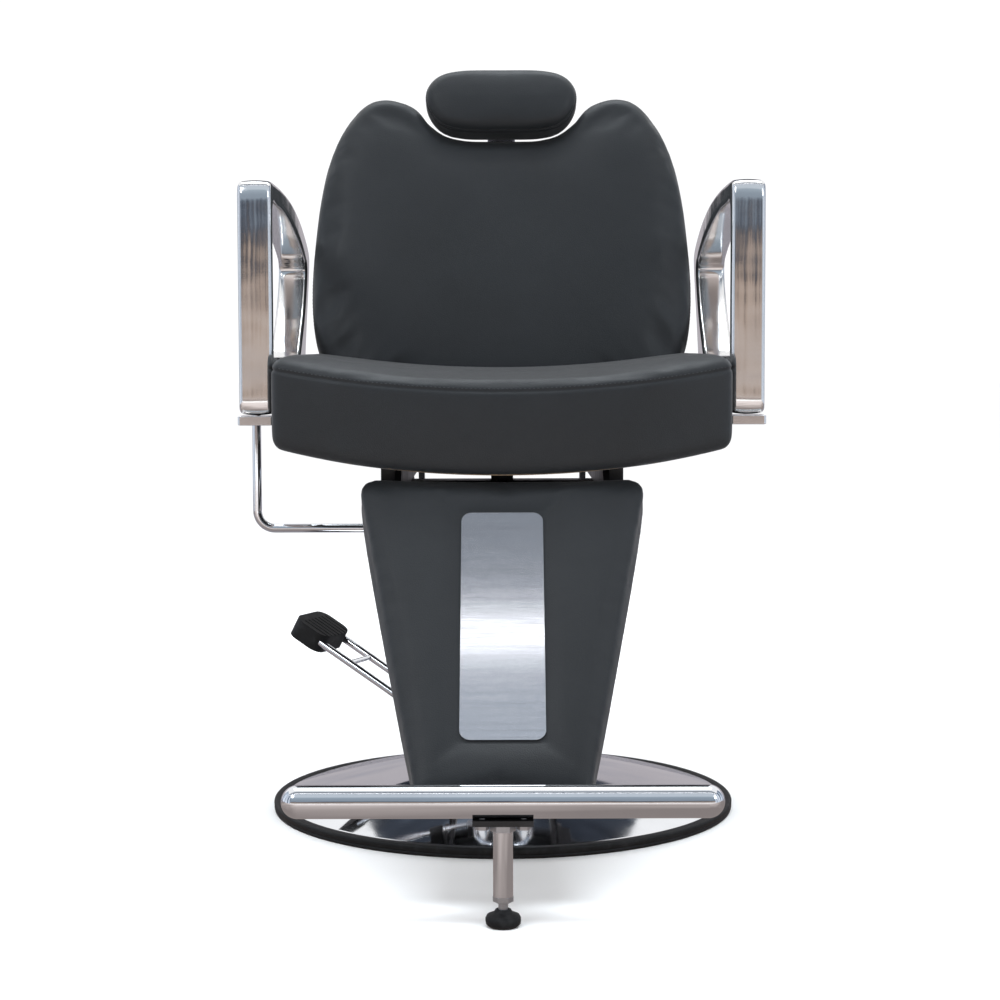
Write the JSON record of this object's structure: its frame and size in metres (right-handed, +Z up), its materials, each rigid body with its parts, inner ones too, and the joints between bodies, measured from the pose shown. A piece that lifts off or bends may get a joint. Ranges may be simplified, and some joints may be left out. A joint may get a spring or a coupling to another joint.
{
  "type": "hydraulic barber chair",
  "caption": "Barber chair on a round chrome base: foot-pumped lift, swivel, reclining back coupled to a leg rest with footrest bar, sliding headrest and loop arms.",
  "frame": {"origin": "on the floor, at the centre of the round base, on the axis of the pump column", "axes": "+Z up along the pump column; -Y towards the leg rest, so the sitter faces -Y; +X towards the sitter's left"},
  "size_m": [0.6635, 0.9787, 0.9934],
  "materials": {
    "chrome": "polished",
    "polished_aluminium": "polished",
    "brushed_steel": "brushed",
    "zinc_steel": "satin",
    "painted_steel": "satin",
    "cast_iron": "matte",
    "rubber": "matte",
    "black_plastic": "satin",
    "plywood": "matte",
    "leather": "satin"
  },
  "bodies": {
    "base": {"base_edge": "rubber", "base_plate": "painted_steel", "base_cover": "chrome", "pump_flange": "cast_iron", "pump_block": "cast_iron", "pump_bolts": "zinc_steel", "pump_housing": "chrome", "pump_cylinder": "brushed_steel", "pump_collar": "chrome", "rod_seal": "rubber", "pedal_bracket": "painted_steel", "pedal_pin": "zinc_steel"},
    "plunger": {"pump_plunger": "brushed_steel"},
    "pedal": {"pedal_hub": "painted_steel", "pedal_rods": "chrome", "pedal_tie": "chrome", "pedal_pad": "rubber"},
    "piston": {"piston_rod": "chrome", "piston_head": "cast_iron", "thrust_bearing": "brushed_steel"},
    "seat": {"swivel_hub": "painted_steel", "swivel_bolts": "zinc_steel", "seat_rail_left": "painted_steel", "seat_rail_right": "painted_steel", "seat_crossbars": "painted_steel", "seat_board": "plywood", "seat_cushion": "leather", "arm_left": "polished_aluminium", "arm_right": "polished_aluminium", "arm_foot_plates": "polished_aluminium", "arm_brackets": "painted_steel", "arm_bolts": "zinc_steel", "recline_brackets": "painted_steel", "strut_tube": "painted_steel", "strut_clevis": "painted_steel"},
    "recline_handle": {"recline_lever": "chrome", "recline_knob": "black_plastic", "release_arm": "zinc_steel"},
    "strut_piston": {"strut_rod": "brushed_steel"},
    "back": {"back_hinge": "painted_steel", "back_pins": "zinc_steel", "back_board": "plywood", "back_cushion": "leather", "back_panel": "leather", "headrest_sleeve": "painted_steel"},
    "headrest": {"headrest_post": "brushed_steel", "headrest_pad": "leather"},
    "links": {"linkage_bars": "painted_steel"},
    "leg_rest": {"leg_frame": "painted_steel", "leg_pins": "zinc_steel", "leg_board": "plywood", "leg_cushion": "leather", "leg_plate": "brushed_steel", "footrest_bar": "chrome", "footrest_caps": "chrome", "footrest_bolts": "zinc_steel", "support_leg": "chrome", "support_nuts": "zinc_steel"},
    "levelling_foot": {"foot_stud": "zinc_steel", "foot_pad": "rubber"}
  },
  "joints": [
    {"name": "pedal_press", "type": "hinge", "parent": "base", "child": "pedal", "pos_m": [-0.058, 0.02705, 0.094], "axis": [-0.4226, -0.9063, 0], "range_deg": [0, 25], "stiffness_Nm_per_rad": 12, "springref_deg": -20.05},
    {"name": "plunger_stroke", "type": "slide", "parent": "base", "child": "plunger", "axis": [0, 0, -1], "range_m": [0, 0.0165]},
    {"name": "lift", "type": "slide", "parent": "base", "child": "piston", "axis": [0, 0, 1], "range_m": [0, 0.15]},
    {"name": "swivel", "type": "hinge", "parent": "piston", "child": "seat", "pos_m": [0, 0, 0.39], "axis": [0, 0, 1], "continuous": true},
    {"name": "recline", "type": "hinge", "parent": "seat", "child": "back", "pos_m": [0, 0.232, 0.474], "axis": [-1, 0, 0], "range_deg": [0, 52]},
    {"name": "leg_rest_swing", "type": "hinge", "parent": "seat", "child": "leg_rest", "pos_m": [0, -0.2588, 0.4216], "axis": [-1, 0, 0], "range_deg": [0, 52]},
    {"name": "link_swing", "type": "hinge", "parent": "back", "child": "links", "pos_m": [0, 0.254, 0.392], "axis": [1, 0, 0], "range_deg": [0, 52]},
    {"name": "strut_slide", "type": "slide", "parent": "seat", "child": "strut_piston", "axis": [0, -0.9999, -0.0131], "range_m": [0, 0.037]},
    {"name": "headrest_slide", "type": "slide", "parent": "back", "child": "headrest", "axis": [0, 0.2756, 0.9613], "range_m": [0, 0.07]},
    {"name": "recline_pull", "type": "hinge", "parent": "seat", "child": "recline_handle", "pos_m": [-0.06, 0.13, 0.352], "axis": [-1, 0, 0], "range_deg": [0, 18], "stiffness_Nm_per_rad": 6, "springref_deg": -17.19},
    {"name": "foot_level", "type": "slide", "parent": "leg_rest", "child": "levelling_foot", "axis": [0, 0, 1], "range_m": [0, 0.007]}
  ],
  "couplings": [
    {"joint": "plunger_stroke", "follows": "pedal_press", "m_per_rad": 0.0365},
    {"joint": "leg_rest_swing", "follows": "recline", "ratio": 1},
    {"joint": "link_swing", "follows": "recline", "ratio": 1},
    {"joint": "strut_slide", "follows": "recline", "m_per_rad": 0.0389}
  ]
}
